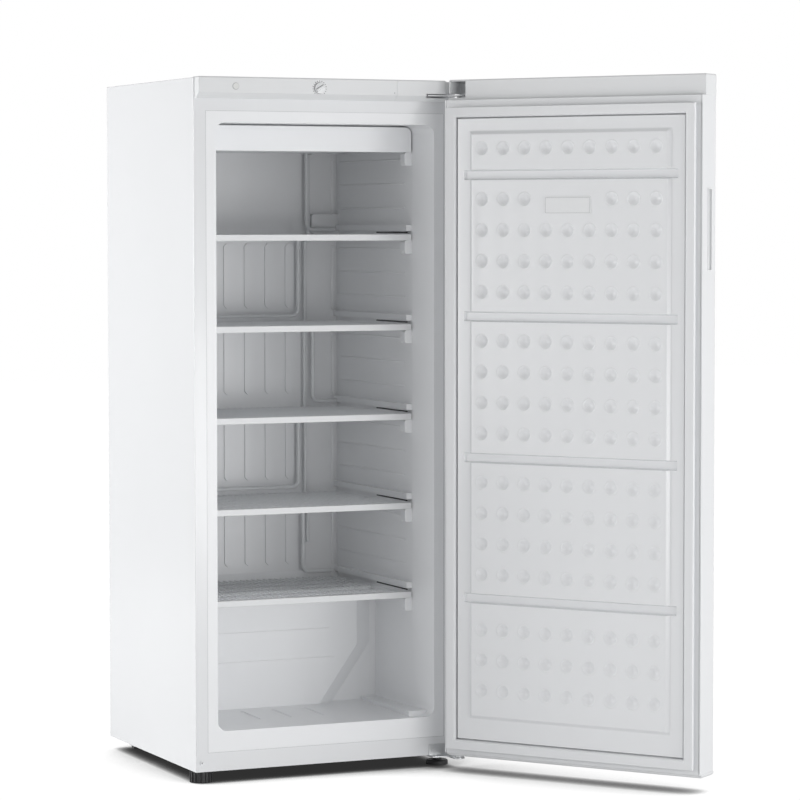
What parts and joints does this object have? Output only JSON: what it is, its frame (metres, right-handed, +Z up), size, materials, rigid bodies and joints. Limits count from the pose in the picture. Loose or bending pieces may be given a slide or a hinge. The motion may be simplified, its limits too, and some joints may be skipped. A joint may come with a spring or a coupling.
{
  "type": "upright freezer",
  "caption": "Upright freezer with a wide-open hinged door, evaporator shelves of wire on tube, a grooved and dimpled door liner, a top control strip, front levelling feet and rear rollers.",
  "frame": {"origin": "centre of the overall box's base, on the floor, with the door standing open", "axes": "+Z up, -Y the side that the mouth and control strip face, +X to the right seen from the front"},
  "size_m": [0.8579, 0.9946, 1.331],
  "materials": {
    "white_enamel": "gloss",
    "zinc_steel": "satin",
    "white_liner": "satin",
    "foam": "matte",
    "white_plastic": "satin",
    "knob_plastic": "satin",
    "lens": "gloss",
    "grey_plastic": "satin",
    "white_coated_steel": "satin",
    "gasket_vinyl": "matte",
    "magnet": "matte",
    "black_rubber": "matte",
    "black_plastic": "satin",
    "black_steel": "satin",
    "copper": "satin"
  },
  "bodies": {
    "cabinet": {"cabinet_shell": "white_enamel", "cabinet_foam": "foam", "inner_liner": "white_liner", "rear_panel": "zinc_steel", "front_base_rail": "white_enamel", "bay_wall": "zinc_steel", "base_tray": "zinc_steel", "control_panel": "white_plastic", "hinge_cover": "white_plastic", "indicator_lens": "lens", "thermostat_body": "grey_plastic", "top_hinge_bracket": "white_enamel", "bottom_hinge_bracket": "zinc_steel", "hinge_screws": "zinc_steel", "corner_screw": "zinc_steel", "roller_brackets": "zinc_steel", "compressor": "black_steel", "compressor_mounts": "black_rubber", "compressor_bolts": "zinc_steel", "relay_cover": "grey_plastic", "filter_drier": "copper", "refrigerant_tubes": "copper", "condenser_coil": "black_steel", "condenser_wires": "black_steel", "condenser_brackets": "zinc_steel", "power_inlet": "grey_plastic", "riser_tubes": "white_coated_steel", "top_evaporator": "white_coated_steel", "top_fascia": "white_plastic", "shelf_tube_1": "white_coated_steel", "shelf_wires_1": "white_coated_steel", "shelf_trim_1": "white_plastic", "shelf_tube_2": "white_coated_steel", "shelf_wires_2": "white_coated_steel", "shelf_trim_2": "white_plastic", "shelf_tube_3": "white_coated_steel", "shelf_wires_3": "white_coated_steel", "shelf_trim_3": "white_plastic", "shelf_tube_4": "white_coated_steel", "shelf_wires_4": "white_coated_steel", "shelf_trim_4": "white_plastic", "shelf_tube_5": "white_coated_steel", "shelf_wires_5": "white_coated_steel", "shelf_trim_5": "white_plastic"},
    "door": {"door_skin": "white_enamel", "door_top_cap": "white_plastic", "door_bottom_cap": "white_plastic", "door_liner": "white_liner", "door_foam": "foam", "door_gasket": "gasket_vinyl", "magnet_strips": "magnet", "handle_cup": "white_plastic", "hinge_bushes": "grey_plastic", "bare_plate": "white_plastic"},
    "knob": {"thermostat_knob": "knob_plastic"},
    "foot_left": {"front_foot_left": "black_plastic"},
    "foot_right": {"front_foot_right": "black_plastic"},
    "roller_left": {"rear_roller_left": "black_plastic"},
    "roller_right": {"rear_roller_right": "black_plastic"}
  },
  "joints": [
    {"name": "door_hinge", "type": "hinge", "parent": "cabinet", "child": "door", "pos_m": [0.0978, -0.0486, 0.66], "axis": [0, 0, 1], "range_deg": [-125.4, 4.6]},
    {"name": "thermostat_turn", "type": "hinge", "parent": "cabinet", "child": "knob", "pos_m": [-0.182, -0.028, 1.3117], "axis": [0, -1, 0], "range_deg": [-120, 150]},
    {"name": "foot_left_turn", "type": "hinge", "parent": "cabinet", "child": "foot_left", "pos_m": [-0.406, 0.03, 0.012], "axis": [0, 0, 1], "continuous": true},
    {"name": "foot_right_turn", "type": "hinge", "parent": "cabinet", "child": "foot_right", "pos_m": [0.088, 0.03, 0.012], "axis": [0, 0, 1], "continuous": true},
    {"name": "roller_left_spin", "type": "hinge", "parent": "cabinet", "child": "roller_left", "pos_m": [-0.384, 0.451, 0.012], "axis": [1, 0, 0], "continuous": true},
    {"name": "roller_right_spin", "type": "hinge", "parent": "cabinet", "child": "roller_right", "pos_m": [0.066, 0.451, 0.012], "axis": [1, 0, 0], "continuous": true}
  ]
}
